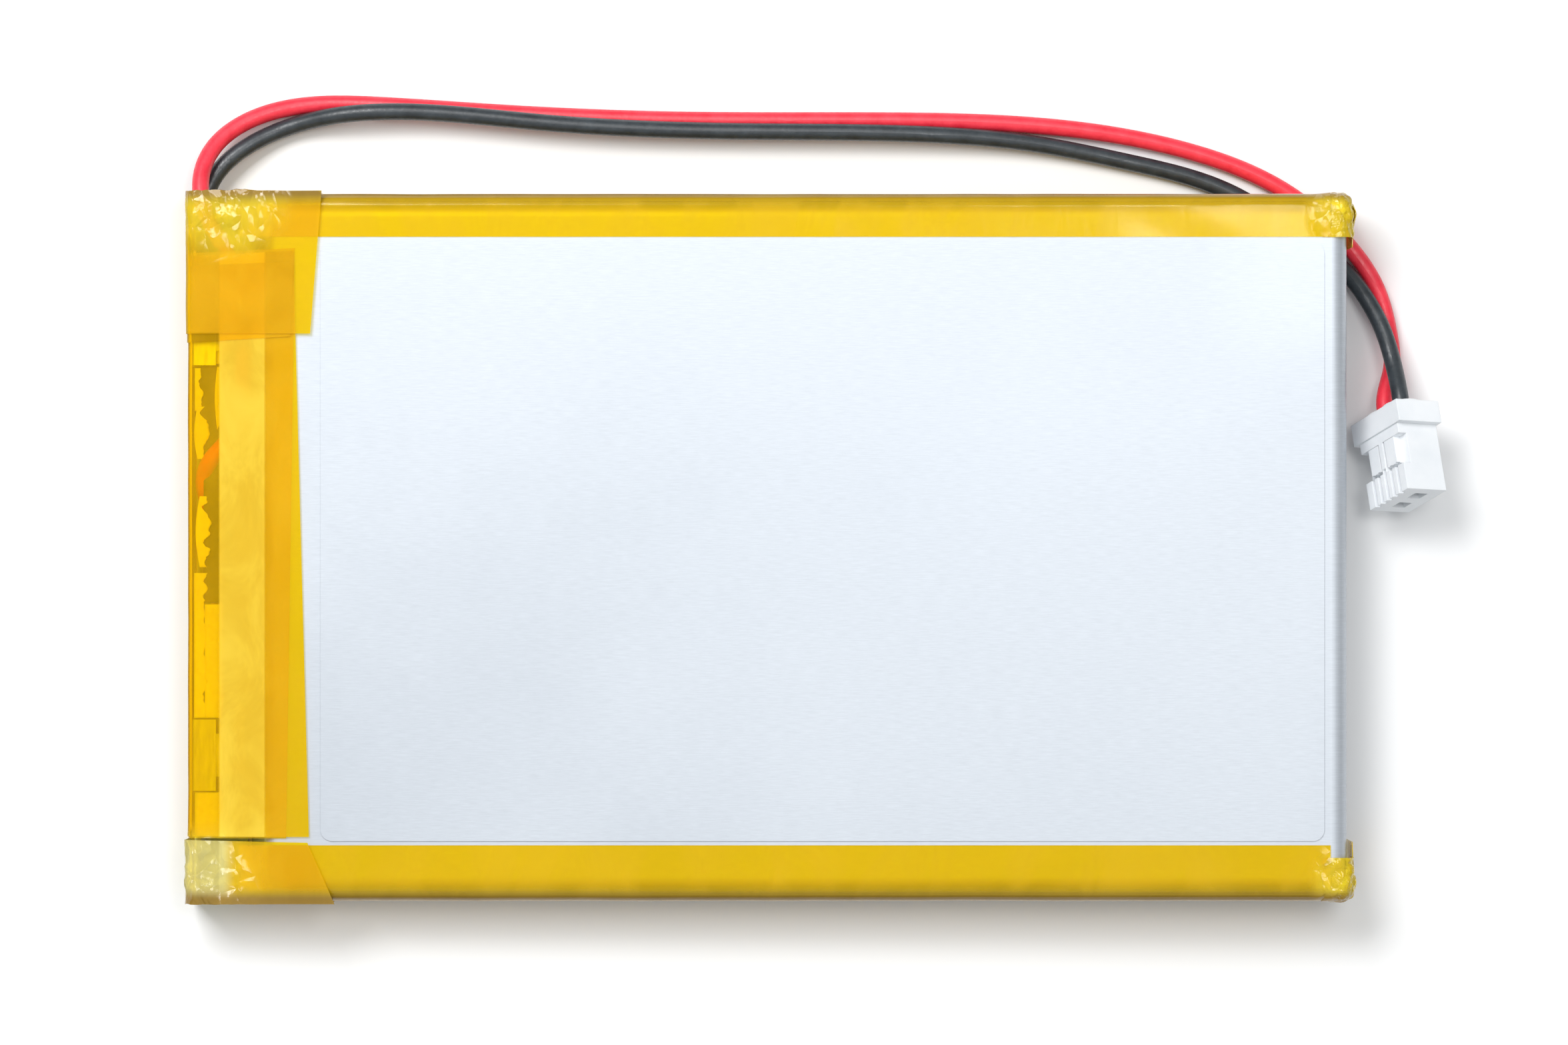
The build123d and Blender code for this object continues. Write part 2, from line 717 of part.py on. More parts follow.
with BuildPart() as plug_housing:
    with BuildSketch(PLUG_FRAME):
        Rectangle(FLANGE_WIDTH, FLANGE_DEPTH)
    extrude(amount=FLANGE_LENGTH)
    with BuildSketch(PLUG_FRAME):
        Rectangle(BODY_WIDTH, BODY_DEPTH)
    extrude(amount=PLUG_LENGTH)
    # polarising keys along the plain face
    with BuildSketch(PLUG_FRAME.offset(FLANGE_LENGTH)):
        with Locations((-1.45, BODY_DEPTH / 2), (1.45, BODY_DEPTH / 2)):
            Rectangle(KEY_WIDTH, 0.4)
    extrude(amount=PLUG_LENGTH - FLANGE_LENGTH - 0.35)
    # round collars where the wires go in
    with BuildSketch(PLUG_FRAME.offset(-0.3)):
        with Locations(*[(x, 0) for x in WAYS]):
            Circle(COLLAR_RADIUS)
        Rectangle(FLANGE_WIDTH, FLANGE_DEPTH - 0.3, mode=Mode.INTERSECT)
    extrude(amount=0.6)
    # each way runs right through, narrower at the mating end
    with BuildSketch(PLUG_FRAME.offset(-0.5)):
        with Locations(*[(x, 0.1) for x in WAYS]):
            RectangleRounded(CAVITY_WIDTH, CAVITY_DEPTH, 0.25)
    extrude(amount=PLUG_LENGTH - 0.1, mode=Mode.SUBTRACT)
    with BuildSketch(PLUG_FRAME.offset(1)):
        with Locations(*[(x, 0.1) for x in WAYS]):
            Rectangle(1.05, 1.05)
    extrude(amount=PLUG_LENGTH, mode=Mode.SUBTRACT)
    # windows in the lance face, open to the narrow sides
    for way in WAYS:
        side = 1 if way > 0 else -1
        with BuildSketch(PLUG_FRAME.offset(WINDOW_START)):
            with Locations((side * (WINDOW_INNER + BODY_WIDTH) / 2, LANCE_FACE)):
                Rectangle(BODY_WIDTH - WINDOW_INNER, 2 * 0.62)
        extrude(amount=WINDOW_END - WINDOW_START, mode=Mode.SUBTRACT)
        # lance: a tongue from the flange end, its free end bevelled into the way
        with BuildSketch(PLUG_FRAME.offset(WINDOW_START - 0.2)):
            with Locations((way, LANCE_FACE + 0.36)):
                Rectangle(LANCE_WIDTH, 0.62)
        extrude(amount=LANCE_TIP - WINDOW_START + 0.2)
    # draw slots from the windows to the mating end
    with BuildSketch(PLUG_FRAME.offset(WINDOW_END - 0.3)):
        with Locations(*[(x, LANCE_FACE) for x in (-1.5, -0.75, 0.0, 0.75, 1.5)]):
            Rectangle(0.32, 2 * 0.3)
    extrude(amount=PLUG_LENGTH, mode=Mode.SUBTRACT)
save(plug_housing.part, "plug_housing")


def contact(way):
    """Crimp contact: insulation crimp, core crimp, floor and a box that takes the pin."""
    with BuildPart() as terminal:
        # the two crimps, round the jacket and round the bare core
        for start, length, outer, inner in (
            (0.0, 0.45, 0.74, WIRE_RADIUS + 0.02),
            (0.85, 0.7, 0.5, BORE_RADIUS + 0.02),
        ):
            with BuildSketch(PLUG_FRAME.offset(start)):
                with Locations((way, 0)):
                    Circle(outer)
                    Circle(inner, mode=Mode.SUBTRACT)
            extrude(amount=length)
        with BuildSketch(PLUG_FRAME.offset(0.2)):
            with Locations((way, 0.67)):
                Rectangle(0.7, 0.14)
        extrude(amount=2.2)
        with BuildSketch(PLUG_FRAME.offset(0.8)):
            with Locations((way, 0.52)):
                Rectangle(0.4, 0.3)
        extrude(amount=0.6)
        with BuildSketch(PLUG_FRAME.offset(2.3)):
            with Locations((way, 0.1)):
                Rectangle(1.2, 1.3)
                Rectangle(0.9, 1.0, mode=Mode.SUBTRACT)
        extrude(amount=3.2)
        # hole the locking lance springs into
        with BuildSketch(PLUG_FRAME.offset(WINDOW_START)):
            with Locations((way, -0.6)):
                Rectangle(1.1, 0.5)
        extrude(amount=LANCE_TIP - WINDOW_START + 0.1, mode=Mode.SUBTRACT)
    return terminal.part


save(contact(WAYS[0]), "contact_positive")
save(contact(WAYS[1]), "contact_negative")
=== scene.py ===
import json
import math

import bmesh
import bpy
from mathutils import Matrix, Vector, kdtree, noise

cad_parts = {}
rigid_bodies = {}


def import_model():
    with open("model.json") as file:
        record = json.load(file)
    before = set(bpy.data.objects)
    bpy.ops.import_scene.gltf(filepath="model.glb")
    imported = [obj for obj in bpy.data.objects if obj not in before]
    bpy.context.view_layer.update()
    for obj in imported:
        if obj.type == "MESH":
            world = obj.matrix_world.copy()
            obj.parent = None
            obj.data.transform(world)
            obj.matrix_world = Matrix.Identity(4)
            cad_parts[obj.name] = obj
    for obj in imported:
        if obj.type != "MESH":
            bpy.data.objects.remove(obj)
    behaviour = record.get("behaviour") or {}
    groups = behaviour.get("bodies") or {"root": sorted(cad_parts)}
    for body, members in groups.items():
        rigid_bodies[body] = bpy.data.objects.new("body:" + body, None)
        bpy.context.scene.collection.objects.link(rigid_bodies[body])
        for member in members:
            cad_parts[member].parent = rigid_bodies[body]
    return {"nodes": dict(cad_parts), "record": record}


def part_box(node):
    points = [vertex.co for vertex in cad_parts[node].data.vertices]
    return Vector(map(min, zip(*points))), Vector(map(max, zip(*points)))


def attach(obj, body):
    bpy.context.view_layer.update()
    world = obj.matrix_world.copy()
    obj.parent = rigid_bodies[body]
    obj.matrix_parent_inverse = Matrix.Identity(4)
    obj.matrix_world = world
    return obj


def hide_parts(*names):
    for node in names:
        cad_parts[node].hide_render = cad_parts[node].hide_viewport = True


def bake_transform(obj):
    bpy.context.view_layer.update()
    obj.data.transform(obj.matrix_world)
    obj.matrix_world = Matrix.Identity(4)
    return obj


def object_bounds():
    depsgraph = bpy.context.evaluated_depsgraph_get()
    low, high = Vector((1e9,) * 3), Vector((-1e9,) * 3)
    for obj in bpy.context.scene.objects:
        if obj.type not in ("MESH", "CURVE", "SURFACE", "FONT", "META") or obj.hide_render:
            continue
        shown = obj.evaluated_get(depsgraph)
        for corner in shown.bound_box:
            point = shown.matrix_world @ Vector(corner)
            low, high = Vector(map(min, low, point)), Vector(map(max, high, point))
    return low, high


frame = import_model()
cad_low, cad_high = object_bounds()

MM = 0.001
NODES = frame["nodes"]

bpy.context.scene.view_settings.view_transform = "Standard"


# ------------------------------------------------------------------ node helpers
class Shader:
    """A node material with short calls for the nodes used below."""

    def __init__(self, name):
        self.material = bpy.data.materials.new(name)
        self.material.use_nodes = True
        self.tree = self.material.node_tree
        self.tree.nodes.clear()
        self.output = self.add("ShaderNodeOutputMaterial")
        self.place = self.add("ShaderNodeTexCoord").outputs["Object"]

    def add(self, kind, **settings):
        node = self.tree.nodes.new(kind)
        for key, value in settings.items():
            setattr(node, key, value)
        return node

    def link(self, source, target):
        self.tree.links.new(source, target)

    def feed(self, socket, value):
        if isinstance(value, bpy.types.NodeSocket):
            self.link(value, socket)
        else:
            socket.default_value = value

    def scaled(self, scale, source=None):
        """The object's coordinates, stretched by scale along each axis."""
        node = self.add("ShaderNodeMapping")
        node.inputs["Scale"].default_value = scale
        self.link(source or self.place, node.inputs["Vector"])
        return node.outputs["Vector"]

    def noise(self, scale, detail=3.0, roughness=0.5, stretch=(1, 1, 1), distortion=0.0):
        node = self.add("ShaderNodeTexNoise")
        self.link(self.scaled(stretch), node.inputs["Vector"])
        node.inputs["Scale"].default_value = scale
        node.inputs["Detail"].default_value = detail
        node.inputs["Roughness"].default_value = roughness
        node.inputs["Distortion"].default_value = distortion
        return node.outputs["Fac"]

    def ramp(self, value, stops):
        """Colour ramp; stops are (position, colour)."""
        node = self.add("ShaderNodeValToRGB")
        self.feed(node.inputs["Fac"], value)
        elements = node.color_ramp.elements
        while len(elements) < len(stops):
            elements.new(0.5)
        for element, (position, colour) in zip(elements, stops):
            element.position = position
            element.color = (*colour, 1)
        return node.outputs["Color"]

    def level(self, value, low, high, out_low=0.0, out_high=1.0):
        """Value mapped from low..high to out_low..out_high, and held there."""
        node = self.add("ShaderNodeMapRange", interpolation_type="SMOOTHSTEP")
        self.feed(node.inputs["Value"], value)
        node.inputs["From Min"].default_value = low
        node.inputs["From Max"].default_value = high
        node.inputs["To Min"].default_value = out_low
        node.inputs["To Max"].default_value = out_high
        return node.outputs["Result"]

    def math(self, operation, a, b=0.0):
        node = self.add("ShaderNodeMath", operation=operation)
        self.feed(node.inputs[0], a)
        self.feed(node.inputs[1], b)
        return node.outputs[0]

    def mix(self, factor, a, b):
        node = self.add("ShaderNodeMix", data_type="RGBA")
        self.feed(node.inputs["Factor"], factor)
        self.feed(node.inputs["A"], a if isinstance(a, bpy.types.NodeSocket) else (*a, 1))
        self.feed(node.inputs["B"], b if isinstance(b, bpy.types.NodeSocket) else (*b, 1))
        return node.outputs["Result"]

    def axis(self, index):
        node = self.add("ShaderNodeSeparateXYZ")
        self.link(self.place, node.inputs[0])
        return node.outputs[index]

    def bump(self, height, strength, distance, normal=None):
        node = self.add("ShaderNodeBump")
        node.inputs["Strength"].default_value = strength
        node.inputs["Distance"].default_value = distance
        self.link(height, node.inputs["Height"])
        if normal:
            self.link(normal, node.inputs["Normal"])
        return node.outputs["Normal"]

    def rounded(self, radius):
        """Normals as if every sharp edge were rounded by radius."""
        node = self.add("ShaderNodeBevel", samples=6)
        node.inputs["Radius"].default_value = radius
        return node.outputs["Normal"]

    def principled(self, **inputs):
        node = self.add("ShaderNodeBsdfPrincipled")
        for key, value in inputs.items():
            name = key.replace("_", " ")
            if isinstance(value, tuple) and len(value) == 3 and name != "Subsurface Radius":
                value = (*value, 1)
            self.feed(node.inputs[name], value)
        return node.outputs[0]

    def finish(self, surface):
        self.link(surface, self.output.inputs["Surface"])
        return self.material


def band(shader, axis, low, high, soft=0.1 * MM):
    """1 between low and high along an axis, 0 outside, with soft edges."""
    value = shader.axis(axis)
    rise = shader.level(value, low - soft, low + soft)
    fall = shader.level(value, high - soft, high + soft, 1, 0)
    return shader.math("MULTIPLY", rise, fall)


# ------------------------------------------------------------------ materials
# what one film lets through, and the colour of what it scatters back
AMBER_TINTS = ((1.0, 0.928, 0.05), (1.0, 0.953, 0.10))
WINDOW_TINT = (1.0, 0.965, 0.12)
PALE_TINTS = ((1.0, 0.95, 0.42), (1.0, 0.975, 0.62))
AMBER_BODY = (1.0, 0.68, 0.003)
PALE_BODY = (0.98, 0.88, 0.36)
# painted light: a lighter body for the crumpled corners, standing for the bright foil that shows
# behind the film there
CRUMPLE_LIGHT_BODY = (1.0, 0.76, 0.02)
MILKY_BODY = (1.0, 0.80, 0.10)
# painted shade: the dark body colour of the films where they turn down over the long edges
EDGE_SHADE_BODY = (0.34, 0.20, 0.02)
# places where the films change, along the pack in X and across it in Y
WINDOW_END_X = -38.4 * MM       # the clear window at the head ends, the milky slope begins
SLOPE_END_X = -35.2 * MM        # the milky slope ends
BAG_END_X = -37.7 * MM          # the nearly clear part of the lower corner's film ends
PATCH_END_Y = 15.05 * MM        # the window is covered beyond this
# where the films turn down, their colour is painted darker as shade
TURN_UPPER_Y = (23.9 * MM, 24.9 * MM)       # the films turn down over the long edges
TURN_LOWER_Y = (-24.7 * MM, -23.7 * MM)
TURN_Z = (4.5 * MM, 5.1 * MM)               # on the front only
CRUMPLES = (
    # a corner of the pack, and how far its crumpling reaches
    ((-38.0 * MM, 24.6 * MM, 5.6 * MM), 5.5 * MM),
    ((-39.5 * MM, -23.6 * MM, 5.4 * MM), 5.0 * MM),
    ((40.9 * MM, 23.8 * MM, 5.4 * MM), 3.6 * MM),
    ((40.9 * MM, -23.4 * MM, 5.4 * MM), 3.4 * MM),
)


def foil():
    """Aluminium laminate: pale, with a fine grain along the pack and a faint cross weave."""
    s = Shader("laminate_foil")
    grain = s.noise(14000, 3, 0.7, (0.06, 1, 0.06))
    weave = s.noise(6000, 2, 0.6, (1, 0.06, 0.06))
    clouds = s.noise(40, 3, 0.5)
    tone = s.ramp(clouds, ((0.3, (0.50, 0.535, 0.58)), (0.7, (0.55, 0.585, 0.63))))
    fine = s.level(grain, 0.25, 0.75, 0.93, 1.04)
    colour = s.add("ShaderNodeVectorMath", operation="SCALE")
    s.link(tone, colour.inputs[0])
    s.link(fine, colour.inputs["Scale"])
    normal = s.bump(grain, 0.13, 0.01 * MM)
    normal = s.bump(weave, 0.08, 0.01 * MM, normal)
    normal = s.bump(s.noise(160, 3, 0.5), 0.08, 0.12 * MM, normal)
    rough = s.level(clouds, 0.3, 0.7, 0.42, 0.50)
    return s.finish(s.principled(
        Base_Color=colour.outputs[0], Metallic=0.55, Roughness=rough, Normal=normal,
    ))


def crumple(s):
    """1 close to the corners of the pack, where the films are crumpled and their body is painted
    lighter, 0 away from them.
    """
    amount = 0.0
    for corner, reach in CRUMPLES:
        gap = s.add("ShaderNodeVectorMath", operation="DISTANCE")
        s.link(s.place, gap.inputs[0])
        gap.inputs[1].default_value = corner
        near = s.level(gap.outputs["Value"], 0.45 * reach, reach, 1, 0)
        amount = s.math("MAXIMUM", near, amount)
    return amount


def creases(s, scale):
    """Height of sharp creases between flat facets."""
    node = s.add("ShaderNodeTexVoronoi", feature="DISTANCE_TO_EDGE")
    bent = s.add("ShaderNodeVectorMath", operation="ADD")
    wander = s.add("ShaderNodeTexNoise")
    s.link(s.place, wander.inputs["Vector"])
    wander.inputs["Scale"].default_value = 420
    small = s.add("ShaderNodeVectorMath", operation="SCALE")
    s.link(wander.outputs["Color"], small.inputs[0])
    small.inputs["Scale"].default_value = 1.6 * MM
    s.link(s.scaled((1, 0.6, 1)), bent.inputs[0])
    s.link(small.outputs[0], bent.inputs[1])
    s.link(bent.outputs[0], node.inputs["Vector"])
    node.inputs["Scale"].default_value = scale
    return s.math("MINIMUM", node.outputs["Distance"], 0.35)


def turned_down(s):
    """1 where the films turn down over the long edges of the front, where painted shade darkens
    them, 0 on the face and walls.
    """
    y = s.axis(1)
    upper = s.level(y, *TURN_UPPER_Y)
    lower = s.level(y, *TURN_LOWER_Y, 1, 0)
    front = s.level(s.axis(2), *TURN_Z)
    return s.math("MULTIPLY", s.math("MAXIMUM", upper, lower), front)


def film(name, cover=0.15, wet=False, bag=False):
    """Amber polyimide film. Tint comes from light passing through, so overlaps go darker.

    wet adds the milky film over the slope of the head, and bag makes the outer end nearly clear.
    """
    s = Shader(name)
    patches = s.noise(260, 4, 0.62, (1, 0.5, 1), 0.6)
    clear = s.add("ShaderNodeBsdfTransparent")
    window = s.level(s.axis(0), WINDOW_END_X - 0.1 * MM, WINDOW_END_X + 0.1 * MM, 1, 0)
    below_patch = s.level(s.axis(1), PATCH_END_Y - 0.15 * MM, PATCH_END_Y + 0.15 * MM, 1, 0)
    window = s.math("MULTIPLY", window, below_patch)
    tint = s.mix(window, s.mix(patches, *AMBER_TINTS), WINDOW_TINT)
    deep = AMBER_BODY
    if bag:
        end = s.level(s.axis(0), BAG_END_X - 0.5 * MM, BAG_END_X + 0.5 * MM, 1, 0)
        tint = s.mix(end, tint, s.mix(patches, *PALE_TINTS))
        deep = s.mix(end, AMBER_BODY, PALE_BODY)
    s.link(tint, clear.inputs["Color"])
    wrinkles = s.noise(700, 4, 0.55, (1, 0.35, 1), 0.8)
    normal = s.bump(wrinkles, 0.25, 0.05 * MM)
    amount = crumple(s)
    folds = s.math("MULTIPLY", creases(s, 900), amount)
    normal = s.bump(folds, 0.45, 0.9 * MM, normal)
    # painted light: near the crumpled corners the body colour is lighter, standing for the bright
    # foil behind the film
    body_colour = deep if bag else s.mix(amount, deep, CRUMPLE_LIGHT_BODY)
    share = s.level(patches, 0.35, 0.7, cover, 1.7 * cover)
    share = s.math("MULTIPLY", share, s.level(window, 0, 1, 1, 0.35))
    # painted light: the lighter body covers more near the crumpled corners
    share = s.math("ADD", share, s.math("MULTIPLY", amount, 0.26))
    if wet:
        milk = s.level(patches, 0.3, 0.7, 0.26, 0.38)
        slope = s.math("MULTIPLY", band(s, 0, WINDOW_END_X, SLOPE_END_X), milk)
        body_colour = s.mix(slope, body_colour, MILKY_BODY)
        share = s.math("ADD", share, slope)
    # painted shade: where the films turn down over the long edges they get a dark body and cover
    # more, standing for the shade on the turned edge
    turned = turned_down(s)
    body_colour = s.mix(turned, body_colour, EDGE_SHADE_BODY)
    share = s.math("ADD", share, s.math("MULTIPLY", turned, 0.42))
    body = s.principled(
        Base_Color=body_colour, Roughness=0.16, Normal=normal,
        Specular_IOR_Level=0.6, Coat_Weight=0.5, Coat_Roughness=0.06,
    )
    fresnel = s.add("ShaderNodeFresnel")
    fresnel.inputs["IOR"].default_value = 1.5
    s.link(normal, fresnel.inputs["Normal"])
    share = s.math("ADD", share, fresnel.outputs[0])
    blend = s.add("ShaderNodeMixShader")
    s.link(share, blend.inputs[0])
    s.link(clear.outputs[0], blend.inputs[1])
    s.link(body, blend.inputs[2])
    return s.finish(blend.outputs[0])


def pvc(name, dark, light, rough):
    """Extruded jacket with a faint pebbled and mottled skin."""
    s = Shader(name)
    mottling = s.noise(900, 4, 0.6)
    pebble = s.noise(5200, 3, 0.6)
    normal = s.bump(pebble, 0.35, 0.02 * MM)
    normal = s.bump(mottling, 0.2, 0.05 * MM, normal)
    return s.finish(s.principled(
        Base_Color=s.ramp(mottling, ((0.3, dark), (0.7, light))),
        Roughness=s.level(pebble, 0.3, 0.7, rough, rough + 0.18),
        Normal=normal, Specular_IOR_Level=0.5, Coat_Weight=0.15, Coat_Roughness=0.35,
    ))


def nylon():
    """Milky moulded nylon."""
    s = Shader("natural_nylon")
    flow = s.noise(420, 3, 0.5)
    normal = s.bump(s.noise(2600, 3, 0.55), 0.18, 0.03 * MM, s.rounded(0.06 * MM))
    return s.finish(s.principled(
        Base_Color=s.ramp(flow, ((0.3, (0.80, 0.83, 0.86)), (0.7, (0.87, 0.89, 0.91)))),
        Roughness=s.level(flow, 0.3, 0.7, 0.34, 0.46), Normal=normal,
        Subsurface_Weight=0.12, Subsurface_Radius=(1.0, 1.0, 1.0), Subsurface_Scale=0.6 * MM,
    ))


def metal(name, dark, light, rough):
    """Rolled or plated sheet metal with a drawn grain."""
    s = Shader(name)
    grain = s.noise(4200, 3, 0.6, (1, 0.12, 1))
    return s.finish(s.principled(
        Base_Color=s.ramp(grain, ((0.3, dark), (0.7, light))), Metallic=0.9,
        Roughness=s.level(grain, 0.3, 0.7, rough, rough + 0.15),
        Normal=s.bump(grain, 0.2, 0.01 * MM),
    ))


def moulded(name, dark, light, rough):
    """Plain matt or satin solid: board, packages, paper, foam, electrode coating."""
    s = Shader(name)
    speckle = s.noise(2500, 4, 0.65)
    return s.finish(s.principled(
        Base_Color=s.ramp(speckle, ((0.3, dark), (0.7, light))),
        Roughness=s.level(speckle, 0.3, 0.7, rough, rough + 0.12),
        Normal=s.bump(speckle, 0.25, 0.02 * MM),
    ))


def slot_materials():
    """One material for each material slot of the record."""
    nickel = metal("nickel_strip_metal", (0.60, 0.57, 0.52), (0.74, 0.71, 0.66), 0.3)
    aluminium = metal("aluminium_sheet", (0.72, 0.73, 0.75), (0.86, 0.87, 0.88), 0.3)
    copper = metal("bare_copper", (0.72, 0.38, 0.22), (0.86, 0.52, 0.34), 0.3)
    tinned = metal("tinned_bronze", (0.62, 0.60, 0.54), (0.78, 0.76, 0.70), 0.25)
    package = moulded("black_package", (0.02, 0.02, 0.022), (0.045, 0.045, 0.05), 0.5)
    return {
        "laminate": foil(),
        "film": film("amber_film"),
        "copper_sheet": moulded("graphite_coat", (0.10, 0.10, 0.11), (0.17, 0.17, 0.18), 0.7),
        "cathode": moulded("oxide_coat", (0.05, 0.05, 0.055), (0.09, 0.09, 0.095), 0.7),
        "separator": moulded("separator_film", (0.86, 0.86, 0.85), (0.93, 0.93, 0.92), 0.5),
        "stack_tape": moulded("blue_band", (0.20, 0.36, 0.66), (0.26, 0.44, 0.74), 0.35),
        "copper_foil": copper,
        "aluminium_foil": aluminium,
        "nickel": nickel,
        "aluminium_tab": aluminium,
        "sealant": moulded("tab_sealant", (0.84, 0.82, 0.76), (0.92, 0.90, 0.84), 0.35),
        "board": moulded("green_mask", (0.012, 0.09, 0.045), (0.02, 0.14, 0.07), 0.3),
        "package": package,
        "chip_part": moulded("chip_ceramic", (0.16, 0.12, 0.09), (0.30, 0.24, 0.18), 0.4),
        "solder": metal("solder", (0.62, 0.62, 0.64), (0.80, 0.80, 0.82), 0.2),
        "paper": moulded("barley_paper", (0.42, 0.50, 0.36), (0.52, 0.60, 0.45), 0.7),
        "foam": moulded("foam_pad", (0.80, 0.80, 0.77), (0.90, 0.90, 0.87), 0.7),
        "red_pvc": pvc("red_jacket_pvc", (0.78, 0.020, 0.045), (0.95, 0.045, 0.075), 0.34),
        "black_pvc": pvc("black_jacket_pvc", (0.018, 0.023, 0.028), (0.04, 0.05, 0.058), 0.3),
        "copper_strand": copper,
        "nylon": nylon(),
        "tin_brass": tinned,
    }


materials = slot_materials()
for part in frame["record"]["subparts"]:
    cad_object = NODES[part["node"]]
    for slot_index in range(max(1, len(cad_object.material_slots))):
        if len(cad_object.material_slots) == 0:
            cad_object.data.materials.append(None)
        cad_object.material_slots[slot_index].material = materials[part["material_slot"]]


# ------------------------------------------------------------------ films
PACK = "pack"
side_low, side_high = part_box("side_tape_lower")[0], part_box("side_tape_upper")[1]
head_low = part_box("head_tape_inner")[0]
WAVE_HEIGHT = 0.025 * MM
CRUMPLE_HEIGHT = 0.34 * MM
CORE_INSET = 1.2 * MM
core_low = Vector((head_low.x + CORE_INSET, side_low.y + CORE_INSET, 1.2 * MM))
core_high = Vector((side_high.x - CORE_INSET, side_high.y - CORE_INSET, 4.6 * MM))


def outward(point):
    """Direction from the pack's core to a point on its wrap."""
    held = Vector(min(max(point[i], core_low[i]), core_high[i]) for i in range(3))
    away = point - held
    return away.normalized() if away.length > 1e-7 else Vector((0, 0, 1))


def crease(point, cell):
    """Height of crumpled film: flat facets that meet in sharp valleys."""
    distances = noise.voronoi(point / cell)[0]
    return min(1.0, 1.6 * (distances[1] - distances[0]))


def wrinkle(point):
    """How far the films stand off at a point: slight waves, and crumples at the corners."""
    waves = noise.noise(Vector((point.x * 260, point.y * 420, point.z * 420)))
    lift = WAVE_HEIGHT * (waves + 1)
    for corner, reach in CRUMPLES:
        near = max(0.0, 1 - (point - Vector(corner)).length / reach)
        if near > 0:
            near = near * near * (3 - 2 * near)
            folds = 0.65 * crease(point, 1.7 * MM) + 0.35 * crease(point, 0.7 * MM)
            lift += near * CRUMPLE_HEIGHT * folds
    return lift


def sliced(source, spacing):
    """A copy of a CAD mesh, cut across each axis so that it can bend."""
    mesh = bmesh.new()
    mesh.from_mesh(source.data)
    for axis in range(3):
        low = min(v.co[axis] for v in mesh.verts)
        high = max(v.co[axis] for v in mesh.verts)
        count = int((high - low) / spacing[axis])
        normal = [0, 0, 0]
        normal[axis] = 1
        for index in range(1, count):
            place = [0, 0, 0]
            place[axis] = low + (high - low) * index / count
            bmesh.ops.bisect_plane(
                mesh, geom=mesh.verts[:] + mesh.edges[:] + mesh.faces[:],
                plane_co=place, plane_no=normal, dist=1e-8,
            )
    return mesh


def finish_piece(name, mesh, material, smooth=True):
    """Turns a bmesh into an object with the given material."""
    data = bpy.data.meshes.new(name)
    mesh.to_mesh(data)
    mesh.free()
    piece = bpy.data.objects.new(name, data)
    bpy.context.collection.objects.link(piece)
    data.materials.append(material)
    for face in data.polygons:
        face.use_smooth = smooth
    return piece


# distance between the cuts through each film, along X, Y and Z
FILM_SPACING = {
    "side_tape_upper": (0.55 * MM, 0.45 * MM, 0.6 * MM),
    "side_tape_lower": (0.55 * MM, 0.45 * MM, 0.6 * MM),
    "head_tape_inner": (0.55 * MM, 0.8 * MM, 0.8 * MM),
    "head_tape_outer": (0.55 * MM, 0.8 * MM, 0.8 * MM),
    "head_patch": (0.5 * MM, 0.5 * MM, 0.8 * MM),
    "corner_tape_upper": (0.3 * MM, 0.3 * MM, 0.4 * MM),
    "corner_tape_lower": (0.3 * MM, 0.3 * MM, 0.4 * MM),
}


def film_piece(node, material):
    """A waved and crumpled copy of one of the CAD films, shown in its place."""
    mesh = sliced(NODES[node], FILM_SPACING[node])
    for vertex in mesh.verts:
        vertex.co += outward(vertex.co) * wrinkle(vertex.co)
    piece = finish_piece(node + "_film", mesh, material)
    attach(piece, PACK)
    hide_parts(node)


plain_film = materials["film"]
window_film = film("window_film", wet=True)
bag_film = film("bag_film", bag=True)
for node in FILM_SPACING:
    chosen = plain_film
    if node == "head_tape_outer":
        chosen = window_film
    if node == "corner_tape_lower":
        chosen = bag_film
    film_piece(node, chosen)


# ------------------------------------------------------------------ corner folds
def draped(x, y, low, high, top, radius):
    """Where a point of a flat sheet ends up when the sheet is bent down over the pack's edges."""
    inner = Vector((min(max(x, low.x + radius), high.x - radius),
                    min(max(y, low.y + radius), high.y - radius)))
    over = Vector((x, y)) - inner
    reach = over.length
    if reach < 1e-9:
        return Vector((x, y, top))
    quarter = radius * math.pi / 2
    angle = min(reach / radius, math.pi / 2)
    out = over / reach * radius * math.sin(angle)
    drop = radius * (1 - math.cos(angle)) + max(0, reach - quarter)
    return Vector((inner.x + out.x, inner.y + out.y, top - drop))


def sheet(columns, rows, place, thickness):
    """A grid of points, place(u, v) for u and v from 0 to 1, made into a thin closed sheet."""
    mesh = bmesh.new()
    grid = []
    for i in range(columns + 1):
        grid.append([mesh.verts.new(place(i / columns, j / rows)) for j in range(rows + 1)])
    for i in range(columns):
        for j in range(rows):
            mesh.faces.new((grid[i][j], grid[i + 1][j], grid[i + 1][j + 1], grid[i][j + 1]))
    bmesh.ops.recalc_face_normals(mesh, faces=mesh.faces[:])
    bmesh.ops.solidify(mesh, geom=mesh.faces[:], thickness=thickness)
    return mesh


FOLD_START_X = 39.0 * MM        # the gathered ends begin here on the front
FOLD_END_X = 41.12 * MM         # and are bent down over the folded end here
FOLD_INSET = 3.1 * MM           # from the long edge in to where they begin
FOLD_TAPER = 0.7 * MM           # how much shorter they are at their lower edge
FOLD_WANDER = 0.25 * MM         # of their ends, in and out
FOLD_TOP = 6.0 * MM
FOLD_RADIUS = 0.9 * MM
FOLD_HEIGHT = 0.42              # of their crumples, in mm
FOLD_THICKNESS = 0.05 * MM
FOLD_LOW = Vector((head_low.x, side_low.y - 0.05 * MM))
FOLD_HIGH = Vector((FOLD_END_X, side_high.y + 0.05 * MM))


